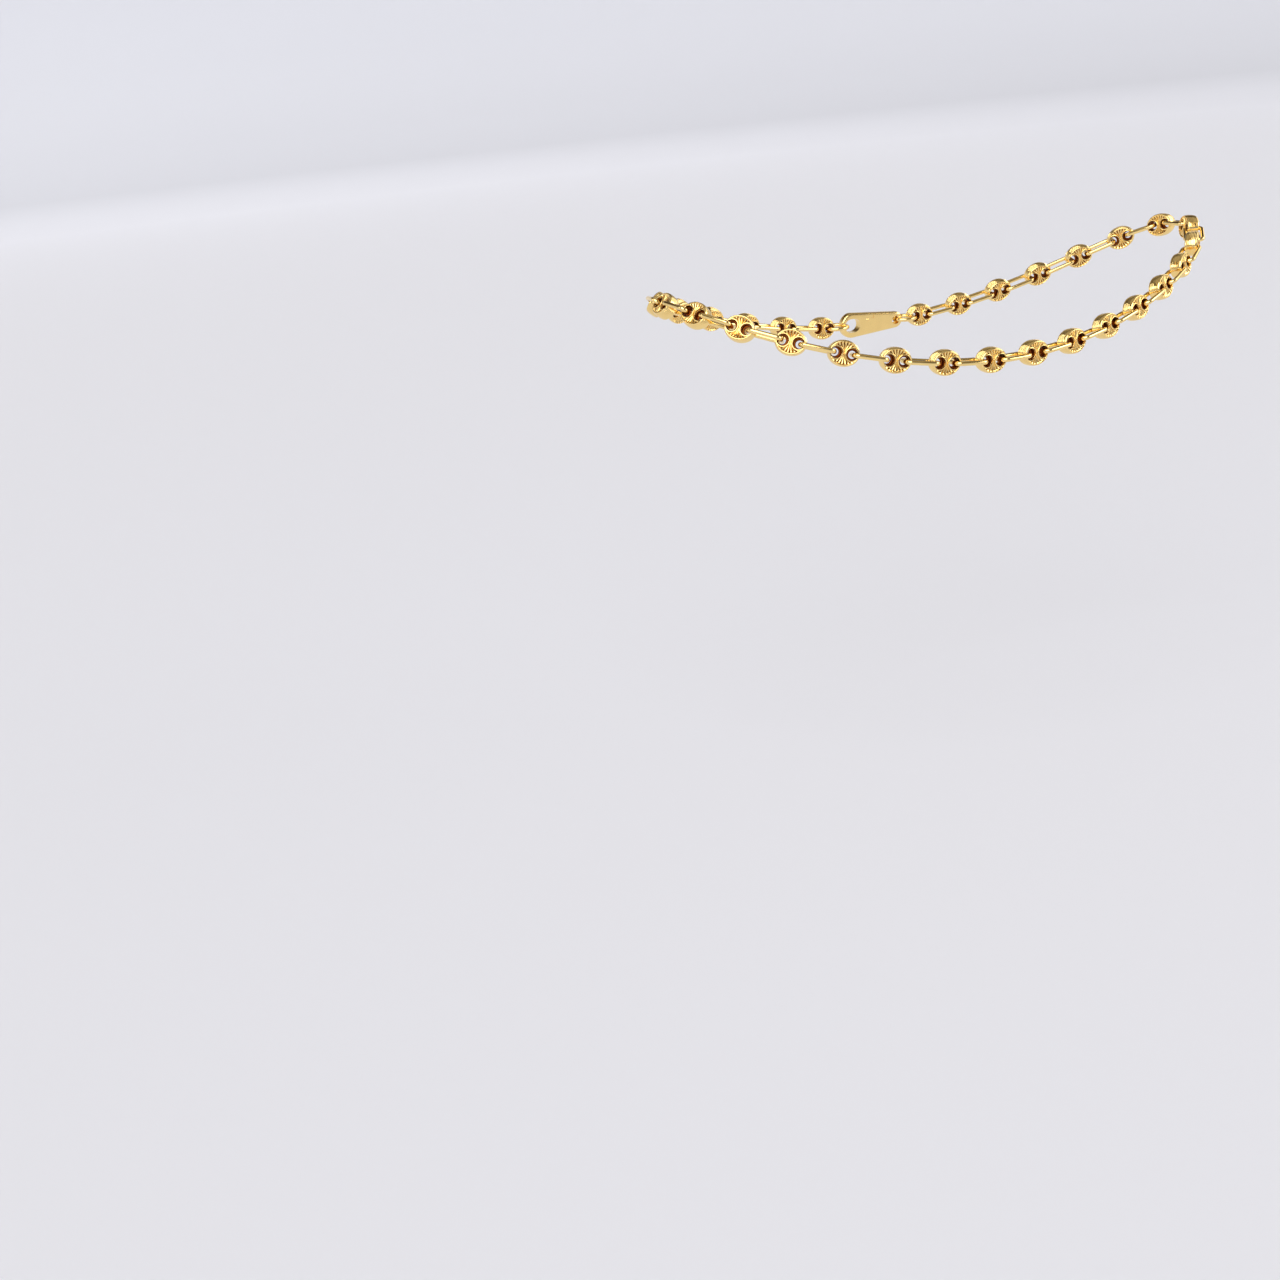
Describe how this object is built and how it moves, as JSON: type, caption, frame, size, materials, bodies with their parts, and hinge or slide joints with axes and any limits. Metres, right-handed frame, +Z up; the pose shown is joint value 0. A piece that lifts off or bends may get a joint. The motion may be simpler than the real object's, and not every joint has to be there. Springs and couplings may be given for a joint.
{
  "type": "anklet",
  "caption": "Chain anklet of puffed oval links with two round holes, joined by plain long wire links, closed round the ankle with a lobster clasp.",
  "frame": {"origin": "middle of the loop that the ankle goes through, level with the mean height of the chain", "axes": "+X along the loop's long side towards the heel, +Y across the ankle to the clasp side, +Z up the leg"},
  "size_m": [0.1064, 0.05, 0.0165],
  "materials": {
    "puffed_gold": "polished yellow gold with cut flutes",
    "connector_gold": "mirror polished yellow gold wire",
    "clasp_gold": "polished yellow gold"
  },
  "bodies": {
    "root": {"puffed_link_01": "puffed_gold", "puffed_link_02": "puffed_gold", "puffed_link_03": "puffed_gold", "puffed_link_04": "puffed_gold", "puffed_link_05": "puffed_gold", "puffed_link_06": "puffed_gold", "puffed_link_07": "puffed_gold", "puffed_link_08": "puffed_gold", "puffed_link_09": "puffed_gold", "puffed_link_10": "puffed_gold", "puffed_link_11": "puffed_gold", "puffed_link_12": "puffed_gold", "puffed_link_13": "puffed_gold", "puffed_link_14": "puffed_gold", "puffed_link_15": "puffed_gold", "puffed_link_16": "puffed_gold", "puffed_link_17": "puffed_gold", "puffed_link_18": "puffed_gold", "puffed_link_19": "puffed_gold", "puffed_link_20": "puffed_gold", "puffed_link_21": "puffed_gold", "puffed_link_22": "puffed_gold", "puffed_link_23": "puffed_gold", "puffed_link_24": "puffed_gold", "puffed_link_25": "puffed_gold", "puffed_link_26": "puffed_gold", "puffed_link_27": "puffed_gold", "puffed_link_28": "puffed_gold", "puffed_link_29": "puffed_gold", "connector_01": "connector_gold", "connector_02": "connector_gold", "connector_03": "connector_gold", "connector_04": "connector_gold", "connector_05": "connector_gold", "connector_06": "connector_gold", "connector_07": "connector_gold", "connector_08": "connector_gold", "connector_09": "connector_gold", "connector_10": "connector_gold", "connector_11": "connector_gold", "connector_12": "connector_gold", "connector_13": "connector_gold", "connector_14": "connector_gold", "connector_15": "connector_gold", "connector_16": "connector_gold", "connector_17": "connector_gold", "connector_18": "connector_gold", "connector_19": "connector_gold", "connector_20": "connector_gold", "connector_21": "connector_gold", "connector_22": "connector_gold", "connector_23": "connector_gold", "connector_24": "connector_gold", "connector_25": "connector_gold", "connector_26": "connector_gold", "connector_27": "connector_gold", "connector_28": "connector_gold", "clasp": "clasp_gold", "clasp_ring": "clasp_gold", "catch_ring": "clasp_gold"}
  },
  "joints": []
}
